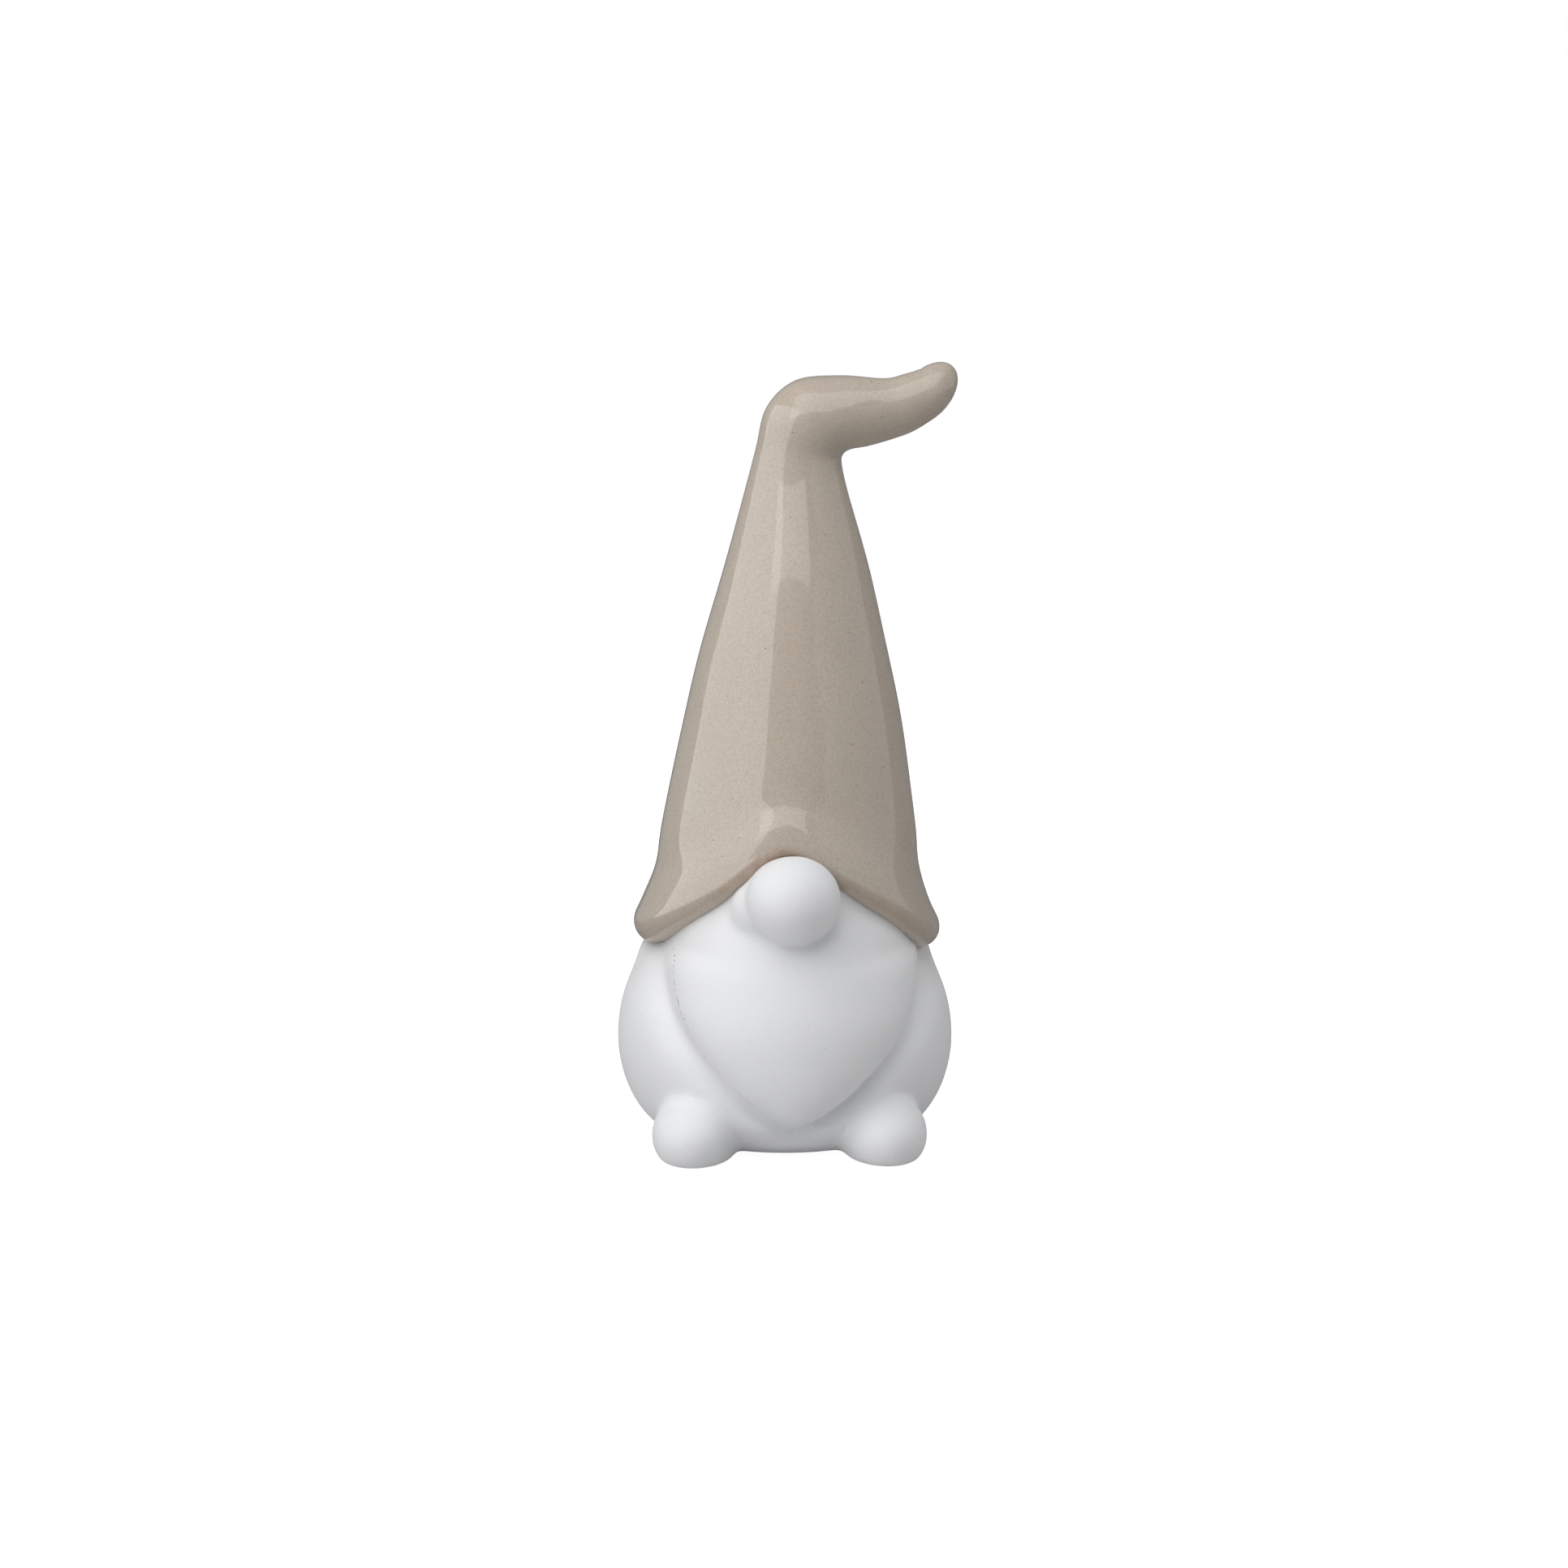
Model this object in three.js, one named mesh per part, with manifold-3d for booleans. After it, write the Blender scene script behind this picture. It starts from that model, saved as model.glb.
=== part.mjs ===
// A ceramic gnome ornament: a hollow white bisque body with a beard, a nose and two feet luted on,
// a hollow hat with a bent tip, the glaze coat that covers the hat, and three felt dots under the base.
// Millimetres, +Z up. The figure faces -Y, its own left is +X, and its hat tip bends towards +X.
import * as THREE from "three";
import { mergeVertices } from "three/addons/utils/BufferGeometryUtils.js";
import Module from "manifold-3d";

const wasm = await Module();
wasm.setup();

// Driving dimensions. Heights are above the ceramic underside.
const GAP = 0.3; // clearance between touching pieces
const GLAZE_THICKNESS = 0.6;
const CLAY_WALL = 3.6;
const FLOOR_THICKNESS = 4.5;
const POUR_HOLE_RADIUS = 12;
const NECK_HOLE_RADIUS = 11;
const FELT_RADIUS = 4.5;
const FELT_THICKNESS = 1;
const FELT_CIRCLE_RADIUS = 19;
const FELT_COUNT = 3;
const FELT_FIRST_ANGLE = 90; // degrees from +X: the first dot is at the back
const CENTRE_OFFSET = new THREE.Vector2(-0.22, 2.77); // puts the origin under the middle of the whole figure

// Outer wall of the body from the underside to the neck: [radius, height].
const BODY_OUTLINE = [
  [24.5, 0],
  [28.6, 1.2],
  [32.8, 4.2],
  [36.5, 9.8],
  [38.7, 17],
  [39.1, 24],
  [37.9, 31.5],
  [35.1, 39],
  [33.0, 44.5],
  [28.8, 48.2],
  [27.4, 54],
  [25.4, 62],
  [21.9, 69],
  [15.5, 74],
];
const NECK_TOP = 75.5;
const BODY_SIDES = 36;
const BODY_STEPS = 22; // along the outline
const HOLLOW_STEPS = 12;

// The hat seen from the front, from the brim's widest ring to the tip: left edge x, z and right edge x, z.
const HAT_OUTLINE = [
  [-35.3, 49.3, 36.3, 46.9],
  [-32.9, 55.5, 33.4, 54.5],
  [-30.0, 63, 31.2, 63],
  [-28.5, 73, 30.4, 73],
  [-24.1, 93, 27.7, 93],
  [-19.8, 112, 23.9, 112],
  [-14.5, 131, 19.6, 131],
  [-9.4, 149, 14.4, 149],
  [-6.7, 159.2, 12.9, 155.7],
  [-4.2, 168.8, 13.2, 158],
  [2.4, 174.9, 15, 159.2],
  [12.6, 176, 19, 159.9],
  [22.5, 175.3, 25, 161.6],
  [31, 176.9, 31.5, 164.7],
  [37, 178.4, 35.6, 168.3],
];
const HAT_TIP = new THREE.Vector2(39.4, 175.1); // where the bent tip ends
const HAT_SIDES = 36;
const HAT_RINGS = 27;
const TIP_RINGS = 3;
const ROLL_RADIUS = 5; // of the rolled brim at the figure's sides
const ROLL_SHRINK_AT_FRONT = 0.3;
const ROLL_ANGLES = [125, 90, 60, 30]; // degrees round the rolled brim, lowest ring first
const BRIM_ARCH = 18.5; // rise of the brim from the sides to the front
const BRIM_PEAK = 8.5; // further rise over the nose
const BRIM_PEAK_ANGLE = 18.5; // degrees either side of the front that the peak takes
const BRIM_DIP_AT_BACK = 1.5;
const ARCH_ENDS_AT = 112; // height where the hat's rings are level again
const PEAK_ENDS_AT = 92;
const CONE_FOOT = 73; // height above which the outline is the plain cone, without the brim's flare
const HAT_HOLLOW = { rings: 11, sides: 20, startBelowBrim: 10, share: 0.58, endRight: 12, endAbove: 5 };

// The beard from its point to its top under the brim: height, half width, reach in front of the axis.
const BEARD_OUTLINE = [
  [9.2, 1.4, 35.6],
  [10.8, 4.8, 37.2],
  [14.4, 9.8, 39.2],
  [20, 16.3, 41],
  [28, 23.4, 42.1],
  [36, 27.6, 41.3],
  [46, 28.7, 38.2],
  [56, 26, 34],
  [64, 19, 30.4],
  [70, 10, 27.4],
];
const BEARD_SHIFT = 1; // it hangs a little to the figure's left
const BEARD_SIDES = 28;
const BEARD_RINGS = 14;
const BEARD_SHOULDER = 1.3; // above 1 softens the beard's edge
const BEARD_ROOT = 12; // the beard's back never comes closer to the axis than this
const BEARD_END_SETBACK = [1, 5]; // how far the middles of its two end caps stand back from the front

const NOSE = { centre: [0, -34.6, 61.9], radii: [10.8, 10.2, 9.7] };
const FOOT = { x: 21.2, y: -27, z: 5.6, radii: [9.9, 13.8, 9], toeOut: 10 };

const bisque = new THREE.MeshStandardMaterial({ color: 0xe4e4e5, roughness: 0.85, metalness: 0 });
const bareClay = new THREE.MeshStandardMaterial({ color: 0xd9d4cb, roughness: 0.9, metalness: 0 });
const sandGlaze = new THREE.MeshStandardMaterial({ color: 0xb9ad9c, roughness: 0.12, metalness: 0 });
const felt = new THREE.MeshStandardMaterial({ color: 0xd8d3c8, roughness: 1, metalness: 0 });

const radians = THREE.MathUtils.degToRad;

// --- closed meshes and the solids that booleans work on ---

function solidOf(geometry) {
  const bare = geometry.clone();
  bare.deleteAttribute("normal");
  bare.deleteAttribute("uv");
  const merged = mergeVertices(bare, 1e-3);
  const solid = new wasm.Manifold(
    new wasm.Mesh({
      numProp: 3,
      vertProperties: merged.attributes.position.array,
      triVerts: new Uint32Array(merged.index.array),
    }),
  );
  return solid;
}

// The largest body of a solid as a mesh geometry: booleans can leave crumbs beside it.
function geometryOf(solid) {
  const bodies = solid.decompose().sort((a, b) => b.volume() - a.volume());
  const made = bodies[0].getMesh();
  const geometry = new THREE.BufferGeometry();
  geometry.setAttribute("position", new THREE.BufferAttribute(made.vertProperties, 3));
  geometry.setIndex(new THREE.BufferAttribute(made.triVerts, 1));
  geometry.computeVertexNormals();
  return geometry;
}

// A closed skin through a stack of rings, bottom ring first. place(ring, angle) gives each point, with
// angle running from +X towards +Y, and bottom and top are the middles of the two end caps.
function ringStack(sides, ringCount, place, bottom, top) {
  const geometry = new THREE.CylinderGeometry(1, 1, ringCount - 1, sides, ringCount - 1, false);
  const position = geometry.attributes.position;
  const point = new THREE.Vector3();
  for (let i = 0; i < position.count; i += 1) {
    point.fromBufferAttribute(position, i);
    const ring = Math.round(point.y + (ringCount - 1) / 2);
    const onAxis = Math.hypot(point.x, point.z) < 0.5;
    const placed = onAxis ? (ring === 0 ? bottom : top) : place(ring, Math.atan2(-point.z, point.x));
    position.setXYZ(i, placed.x, placed.y, placed.z);
  }
  return solidOf(geometry);
}

// --- body ---

const bodyCurve = new THREE.SplineCurve(BODY_OUTLINE.map(([r, z]) => new THREE.Vector2(r, z)));
const finePoints = bodyCurve.getPoints(BODY_STEPS * 4);

// Radius of the body's outer wall at a height.
function bodyRadius(z) {
  const above = finePoints.findIndex((p) => p.y >= z);
  if (above === 0) return finePoints[0].x;
  if (above < 0) return finePoints.at(-1).x;
  const a = finePoints[above - 1];
  const b = finePoints[above];
  return THREE.MathUtils.mapLinear(z, a.y, b.y, a.x, b.x);
}

// Turns a profile of [radius, height] points about the Z axis.
function turned(profile, sides) {
  return solidOf(new THREE.LatheGeometry(profile, sides).rotateX(Math.PI / 2));
}

// The whole inside of the body's outer wall, grown by a clearance, as a tool for cutting its neighbours.
function bodyFilled(clearance) {
  const wall = bodyCurve.getPoints(BODY_STEPS).map((p) => new THREE.Vector2(p.x + clearance, p.y));
  const underside = new THREE.Vector2(0, -clearance);
  const undersideEdge = new THREE.Vector2(wall[0].x, -clearance);
  const crown = new THREE.Vector2(0, NECK_TOP + clearance);
  return turned([underside, undersideEdge, ...wall.slice(1), crown], BODY_SIDES);
}

function bodyShell() {
  const outer = bodyCurve.getPoints(BODY_STEPS);
  const neckEdge = new THREE.Vector2(NECK_HOLE_RADIUS, NECK_TOP);
  const inner = [];
  for (let i = 0; i <= HOLLOW_STEPS; i += 1) {
    const z = THREE.MathUtils.lerp(NECK_TOP - CLAY_WALL, FLOOR_THICKNESS, i / HOLLOW_STEPS);
    inner.push(new THREE.Vector2(Math.max(bodyRadius(z) - CLAY_WALL, NECK_HOLE_RADIUS), z));
  }
  const holeTop = new THREE.Vector2(POUR_HOLE_RADIUS, FLOOR_THICKNESS);
  const holeBottom = new THREE.Vector2(POUR_HOLE_RADIUS, 0);
  return turned([holeBottom, ...outer, neckEdge, ...inner, holeTop, holeBottom], BODY_SIDES);
}

// --- hat ---

const leftEdge = new THREE.SplineCurve(HAT_OUTLINE.map(([x, z]) => new THREE.Vector2(x, z)));
const rightEdge = new THREE.SplineCurve(HAT_OUTLINE.map(([, , x, z]) => new THREE.Vector2(x, z)));

const hatRows = leftEdge.getPoints(400).map((left, i) => {
  const right = rightEdge.getPoint(i / 400);
  return { x: (left.x + right.x) / 2, z: (left.y + right.y) / 2, reach: left.distanceTo(right) / 2 };
});

// Middle and radius of the plain cone at a height. Below its foot the cone runs on straight.
function coneAt(height) {
  const above = hatRows.findIndex((row) => row.z >= Math.max(height, CONE_FOOT));
  const a = hatRows[above - 1];
  const b = hatRows[above];
  return {
    x: THREE.MathUtils.mapLinear(height, a.z, b.z, a.x, b.x),
    reach: THREE.MathUtils.mapLinear(height, a.z, b.z, a.reach, b.reach),
  };
}

// How far the brim is lifted at an angle from +X, and how much of that reaches a given height.
function brimLift(angle, height) {
  const front = Math.max(-Math.sin(angle), 0);
  const back = Math.max(Math.sin(angle), 0);
  const fromFront = Math.acos(THREE.MathUtils.clamp(-Math.sin(angle), -1, 1));
  const peak = BRIM_PEAK * Math.exp(-((fromFront / radians(BRIM_PEAK_ANGLE)) ** 2));
  const arch = BRIM_ARCH * front ** 2 - BRIM_DIP_AT_BACK * back ** 2;
  const archFade = 1 - THREE.MathUtils.smoothstep(height, HAT_OUTLINE[0][1], ARCH_ENDS_AT);
  const peakFade = 1 - THREE.MathUtils.smoothstep(height, HAT_OUTLINE[0][1], PEAK_ENDS_AT);
  return arch * archFade + peak * peakFade;
}

// The hat's outer skin pulled in by inset, closed by a cap inside the body and one at the tip.
function hatSolid(inset) {
  const rollCount = ROLL_ANGLES.length;
  const wallCount = HAT_RINGS - rollCount - TIP_RINGS;
  const place = (ring, angle) => {
    const along = ring - rollCount;
    const t = THREE.MathUtils.clamp(along / (wallCount - 1), 0, 1);
    const left = leftEdge.getPoint(t);
    const right = rightEdge.getPoint(t);
    const middle = left.clone().add(right).multiplyScalar(0.5);
    const half = right.clone().sub(left).multiplyScalar(0.5);
    let reach = half.length() - inset;
    let rise = 0;
    if (along < 0) {
      const frontness = Math.max(-Math.sin(angle), 0);
      const roll = ROLL_RADIUS * (1 - ROLL_SHRINK_AT_FRONT * frontness) - inset;
      const turn = radians(ROLL_ANGLES[ring]);
      reach -= roll * (1 - Math.cos(turn));
      rise = -roll * Math.sin(turn);
    }
    if (along >= wallCount) {
      const turn = radians((90 * (along - wallCount + 1)) / (TIP_RINGS + 1));
      const end = HAT_TIP.clone().sub(middle);
      end.setLength(end.length() - inset);
      middle.addScaledVector(end, Math.sin(turn));
      reach *= Math.cos(turn);
    }
    const lift = brimLift(angle, middle.y);
    if (lift !== 0) {
      const from = coneAt(middle.y);
      const to = coneAt(middle.y + lift);
      reach += to.reach - from.reach;
      middle.x += to.x - from.x;
    }
    half.setLength(reach);
    const x = middle.x + half.x * Math.cos(angle);
    const z = middle.y + half.y * Math.cos(angle) + lift + rise;
    return new THREE.Vector3(x, reach * Math.sin(angle), z);
  };
  const cap = new THREE.Vector3(0, 0, HAT_OUTLINE[0][1]);
  const tip = new THREE.Vector3(HAT_TIP.x - inset, 0, HAT_TIP.y);
  return ringStack(HAT_SIDES, HAT_RINGS, place, cap, tip);
}

// The hollow inside the hat: it follows the cone and the start of the bend, and runs down past the brim.
function hatCore() {
  const lowest = HAT_OUTLINE[0][1] - HAT_HOLLOW.startBelowBrim;
  const inset = GLAZE_THICKNESS + GAP + CLAY_WALL;
  const place = (ring, angle) => {
    const t = (HAT_HOLLOW.share * (ring - 1)) / (HAT_HOLLOW.rings - 2);
    const left = leftEdge.getPoint(Math.max(t, 0));
    const right = rightEdge.getPoint(Math.max(t, 0));
    const reach = left.distanceTo(right) / 2 - inset;
    const height = ring === 0 ? lowest : (left.y + right.y) / 2;
    const x = (left.x + right.x) / 2 + reach * Math.cos(angle);
    return new THREE.Vector3(x, reach * Math.sin(angle), height);
  };
  const bottom = new THREE.Vector3(0, 0, lowest);
  const end = leftEdge.getPoint(HAT_HOLLOW.share);
  const top = new THREE.Vector3(end.x + HAT_HOLLOW.endRight, 0, end.y + HAT_HOLLOW.endAbove);
  return ringStack(HAT_HOLLOW.sides, HAT_HOLLOW.rings, place, bottom, top);
}

// --- beard, nose and feet ---

const beardShape = new THREE.CatmullRomCurve3(BEARD_OUTLINE.map((p) => new THREE.Vector3(...p)));

function beardSolid(clearance) {
  const place = (ring, angle) => {
    const shape = beardShape.getPoint(ring / (BEARD_RINGS - 1));
    const halfWidth = shape.y + clearance;
    const side = Math.sqrt(Math.max(bodyRadius(shape.x) ** 2 - shape.y ** 2, BEARD_ROOT ** 2));
    const depth = shape.z + clearance - side;
    const forward = -Math.sin(angle);
    const y = forward > 0 ? -side - depth * forward ** BEARD_SHOULDER : -side - (side - BEARD_ROOT) * forward;
    let z = shape.x;
    if (ring === 0) z -= clearance;
    if (ring === BEARD_RINGS - 1) z += clearance;
    return new THREE.Vector3(BEARD_SHIFT + halfWidth * Math.cos(angle), y, z);
  };
  const [lowZ, , lowReach] = BEARD_OUTLINE[0];
  const [highZ, , highReach] = BEARD_OUTLINE.at(-1);
  const bottom = new THREE.Vector3(BEARD_SHIFT, BEARD_END_SETBACK[0] - lowReach, lowZ - clearance);
  const top = new THREE.Vector3(BEARD_SHIFT, BEARD_END_SETBACK[1] - highReach, highZ + clearance);
  return ringStack(BEARD_SIDES, BEARD_RINGS, place, bottom, top);
}

function ellipsoid(centre, radii, clearance, widthSegments, heightSegments, turn = 0) {
  const geometry = new THREE.SphereGeometry(1, widthSegments, heightSegments);
  geometry.rotateX(Math.PI / 2);
  geometry.scale(radii[0] + clearance, radii[1] + clearance, radii[2] + clearance);
  geometry.rotateZ(turn);
  geometry.translate(...centre);
  return solidOf(geometry);
}

function noseSolid(clearance) {
  return ellipsoid(NOSE.centre, NOSE.radii, clearance, 22, 14);
}

// Everything below the ceramic underside.
function belowGround() {
  const size = 200;
  return solidOf(new THREE.BoxGeometry(size, size, size).translate(0, 0, -size / 2));
}

function footSolid(side) {
  const centre = [side * FOOT.x, FOOT.y, FOOT.z];
  const turn = side * radians(FOOT.toeOut);
  return ellipsoid(centre, FOOT.radii, 0, 22, 14, turn).subtract(belowGround());
}

// --- assembly ---

const figure = new THREE.Group();
figure.position.set(CENTRE_OFFSET.x, CENTRE_OFFSET.y, FELT_THICKNESS + GAP);

function add(name, solid, material, parent = figure) {
  const mesh = new THREE.Mesh(geometryOf(solid), material);
  mesh.name = name;
  parent.add(mesh);
  return mesh;
}

const bodyClear = bodyFilled(GAP);
const beardClear = beardSolid(GAP);
const noseClear = noseSolid(GAP);

add("body_shell", bodyShell(), bisque);
add("beard", beardSolid(0).subtract(bodyClear), bisque);
add("nose", noseSolid(0).subtract(beardClear).subtract(bodyClear), bisque);
add("foot_left", footSolid(1).subtract(bodyClear), bisque);
add("foot_right", footSolid(-1).subtract(bodyClear), bisque);

function clearOfFace(solid) {
  return solid.subtract(bodyClear).subtract(beardClear).subtract(noseClear);
}

const hatClay = hatSolid(GLAZE_THICKNESS + GAP).subtract(hatCore());
add("hat_shell", clearOfFace(hatClay), bareClay);
const glazeCoat = hatSolid(0).subtract(hatSolid(GLAZE_THICKNESS));
add("hat_glaze", clearOfFace(glazeCoat), sandGlaze);

const ornament = new THREE.Group();
ornament.add(figure);

for (let i = 0; i < FELT_COUNT; i += 1) {
  const angle = radians(FELT_FIRST_ANGLE + (360 * i) / FELT_COUNT);
  const dot = new THREE.CylinderGeometry(FELT_RADIUS, FELT_RADIUS, FELT_THICKNESS, 20).rotateX(Math.PI / 2);
  const mesh = new THREE.Mesh(dot, felt);
  mesh.name = `felt_dot_${i + 1}`;
  mesh.position.set(
    CENTRE_OFFSET.x + FELT_CIRCLE_RADIUS * Math.cos(angle),
    CENTRE_OFFSET.y + FELT_CIRCLE_RADIUS * Math.sin(angle),
    FELT_THICKNESS / 2,
  );
  ornament.add(mesh);
}

export default ornament;
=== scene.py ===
import math

import bmesh
import bpy
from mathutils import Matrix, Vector


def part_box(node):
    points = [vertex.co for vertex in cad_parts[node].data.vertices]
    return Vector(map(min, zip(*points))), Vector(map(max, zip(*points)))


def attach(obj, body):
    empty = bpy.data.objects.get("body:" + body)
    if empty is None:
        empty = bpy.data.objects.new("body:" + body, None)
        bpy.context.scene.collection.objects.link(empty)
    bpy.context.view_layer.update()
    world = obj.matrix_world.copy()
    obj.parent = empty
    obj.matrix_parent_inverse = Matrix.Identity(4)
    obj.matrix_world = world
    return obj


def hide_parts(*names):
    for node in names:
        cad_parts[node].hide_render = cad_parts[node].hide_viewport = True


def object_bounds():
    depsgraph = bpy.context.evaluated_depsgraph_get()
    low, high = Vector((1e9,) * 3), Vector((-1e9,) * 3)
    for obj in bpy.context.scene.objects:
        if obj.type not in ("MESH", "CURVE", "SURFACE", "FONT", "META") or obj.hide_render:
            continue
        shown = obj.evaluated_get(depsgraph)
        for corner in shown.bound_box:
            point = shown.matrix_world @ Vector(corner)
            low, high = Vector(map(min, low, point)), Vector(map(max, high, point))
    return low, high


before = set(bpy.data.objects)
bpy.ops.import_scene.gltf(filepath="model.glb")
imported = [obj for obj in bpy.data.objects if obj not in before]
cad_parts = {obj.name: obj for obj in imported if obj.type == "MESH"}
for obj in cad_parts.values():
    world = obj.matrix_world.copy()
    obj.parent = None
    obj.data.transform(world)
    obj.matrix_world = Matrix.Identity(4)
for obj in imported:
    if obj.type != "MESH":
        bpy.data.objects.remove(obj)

cadLow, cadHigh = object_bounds()

# The body gives the figure's upright axis, its floor and its scale.
bodyLow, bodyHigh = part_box("body_shell")
mm = (bodyHigh.x - bodyLow.x) / 78.3  # one millimetre of the potter's drawing, where the body is 78.3 across
axisX = (bodyLow.x + bodyHigh.x) / 2
axisY = (bodyLow.y + bodyHigh.y) / 2
floorZ = bodyLow.z
height = cadHigh.z - cadLow.z


def at(x, y, z):
    # a place in millimetres from the middle of the underside
    return Vector((axisX + x * mm, axisY + y * mm, floorZ + z * mm))


def drawing(point):
    # the same, backwards
    return (point.x - axisX) / mm, (point.y - axisY) / mm, (point.z - floorZ) / mm


def clearSelection():
    if bpy.context.mode != "OBJECT":
        bpy.ops.object.mode_set(mode="OBJECT")
    bpy.ops.object.select_all(action="DESELECT")


def pick(piece, *others):
    clearSelection()
    for other in others:
        other.select_set(True)
    piece.select_set(True)
    bpy.context.view_layer.objects.active = piece


def applyAll(piece):
    pick(piece)
    for modifier in list(piece.modifiers):
        bpy.ops.object.modifier_apply(modifier=modifier.name)


def settle(piece):
    # object at the origin, its place in its mesh
    pick(piece)
    bpy.ops.object.transform_apply(location=True, rotation=True, scale=True)


def outwards(piece):
    pick(piece)
    bpy.ops.object.mode_set(mode="EDIT")
    bpy.ops.mesh.select_all(action="SELECT")
    bpy.ops.mesh.remove_doubles(threshold=1e-6)
    bpy.ops.mesh.normals_make_consistent(inside=False)
    bpy.ops.object.mode_set(mode="OBJECT")


def smoothStep(value, low, high):
    t = min(max((value - low) / (high - low), 0.0), 1.0)
    return t * t * (3 - 2 * t)


def along(points, share):
    # a smooth curve through all the points, at a share of its way from 0 to 1
    last = len(points) - 1
    step = min(max(share, 0.0), 1.0) * last
    first = min(int(step), last - 1)
    t = step - first
    a, b, c, d = (points[min(max(first + k, 0), last)] for k in (-1, 0, 1, 2))
    out = []
    for p, q, r, s in zip(a, b, c, d):
        left = (r - p) / 2
        right = (s - q) / 2
        cubic = 2 * q - 2 * r + left + right
        square = 3 * r - 3 * q - 2 * left - right
        out.append(cubic * t ** 3 + square * t ** 2 + left * t + q)
    return out


def ringStack(name, sides, rings, place, closed=True):
    # a tube of rings extruded one above the other, each then set on its outline
    clearSelection()
    fill = "NGON" if closed else "NOTHING"
    bpy.ops.mesh.primitive_circle_add(vertices=sides, radius=1, fill_type=fill)
    piece = bpy.context.object
    piece.name = name
    piece.data.name = name
    bpy.ops.object.mode_set(mode="EDIT")
    for _ in range(rings - 1):
        if closed:
            bpy.ops.mesh.extrude_region_move(TRANSFORM_OT_translate={"value": (0, 0, 1)})
        else:
            bpy.ops.mesh.extrude_edges_move(TRANSFORM_OT_translate={"value": (0, 0, 1)})
    bpy.ops.object.mode_set(mode="OBJECT")
    for vertex in piece.data.vertices:
        ring = round(vertex.co.z)
        angle = math.atan2(vertex.co.y, vertex.co.x)
        vertex.co = place(ring, angle)
    outwards(piece)
    return piece


# The clay is one soft form, cut afterwards into the pieces it was put together from.

ball = {
    "sides": 120,
    "rings": 90,
    "steps": 600,
    "outline": [  # radius, height
        (24.5, 0), (28.6, 1.2), (32.8, 4.2), (36.5, 9.8), (38.7, 17), (39.1, 24), (37.9, 31.5), (35.1, 39),
        (33.0, 44.5), (28.8, 48.2), (27.4, 54), (25.4, 62), (21.9, 69), (15.5, 74),
    ],
    "neckTop": 75.5,
    "neckTopRadius": 8,
}


def ballRadius(z):
    # the outline is walked finely once, then looked up
    if "table" not in ball:
        steps = ball["steps"]
        ball["table"] = [along(ball["outline"], i / steps) for i in range(steps + 1)]
    table = ball["table"]
    if z <= table[0][1]:
        return table[0][0]
    low, high = 0, len(table) - 1
    while high - low > 1:
        middle = (low + high) // 2
        if table[middle][1] < z:
            low = middle
        else:
            high = middle
    if z >= table[high][1]:
        return table[high][0]
    t = (z - table[low][1]) / max(table[high][1] - table[low][1], 1e-9)
    return table[low][0] + t * (table[high][0] - table[low][0])


def beardHalfWidth(z):
    rows = beard["outline"]
    for (lowZ, lowWidth, _), (highZ, highWidth, _) in zip(rows, rows[1:]):
        if lowZ < z <= highZ:
            return lowWidth + (highWidth - lowWidth) * (z - lowZ) / (highZ - lowZ)
    return 0 if z <= rows[0][0] else rows[-1][1]


def valley(x, z):
    # how deep the ball is scooped out along the beard's edge
    beside = abs(x - beard["shift"]) - beardHalfWidth(z) - beard["scoopOutside"]
    below = max(beard["outline"][0][0] - z, 0)
    near = math.exp(-(beside ** 2 + below ** 2) / beard["scoopWidth"] ** 2)
    ends = 1 - smoothStep(z, *beard["scoopEnds"])
    return beard["scoop"] * near * smoothStep(z, *beard["scoopStarts"]) * ends


def makeBall(name, recess=0.0):
    rings = ball["rings"]

    def place(ring, angle):
        radius, z = along(ball["outline"], ring / (rings - 2))
        if ring == rings - 1:
            radius, z = ball["neckTopRadius"], ball["neckTop"]
        if math.sin(angle) < 0:
            radius -= valley(radius * math.cos(angle), z)
        radius -= recess
        if ring == 0:
            z += recess
        return at(radius * math.cos(angle), radius * math.sin(angle), z)

    return ringStack(name, ball["sides"], rings, place)


beard = {
    "sides": 64,
    "rings": 60,
    "outline": [  # height, half width, reach in front of the axis
        (8.6, 1.0, 36.6), (10.4, 3.6, 39.4), (12.6, 7.2, 41.4), (16, 11.6, 43), (20, 16, 44), (28, 23, 44.5),
        (36, 27.2, 43.4), (46, 28.4, 39.6), (56, 26, 34), (64, 19, 30.4), (70, 10, 27.4),
    ],
    "shift": 1.0,  # it hangs a little to the figure's left
    "fullness": 1.03,  # how far its ellipse runs on into the body past the beard's edge
    "root": 6,  # how far it is keyed into the body
    "scoop": 3.8,  # depth of the valley pressed in along its edge
    "scoopWidth": 4.6,
    "scoopOutside": 0.8,  # how far outside the beard's edge the valley runs deepest
    "scoopStarts": (2, 9),  # it fades in and out between these heights
    "scoopEnds": (46, 56),
    "leastDepth": 0.5,  # keeps its form whole at its pointed end
    "leastSide": 10,
}


def makeBeard():
    rings = beard["rings"]
    full = beard["fullness"]
    meets = math.sqrt(1 - 1 / full ** 2)

    def place(ring, angle):
        z, halfWidth, reach = along(beard["outline"], ring / (rings - 1))
        side = math.sqrt(max(ballRadius(z) ** 2 - halfWidth ** 2, beard["leastSide"] ** 2))
        depth = max(reach - side, beard["leastDepth"]) / (1 - meets)
        front = math.sin(angle)
        swell = depth * front if front > 0 else min(depth, beard["root"]) * front
        return at(beard["shift"] + halfWidth * full * math.cos(angle), -(reach - depth) - swell, z)

    return ringStack("beardClay", beard["sides"], rings, place)


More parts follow.
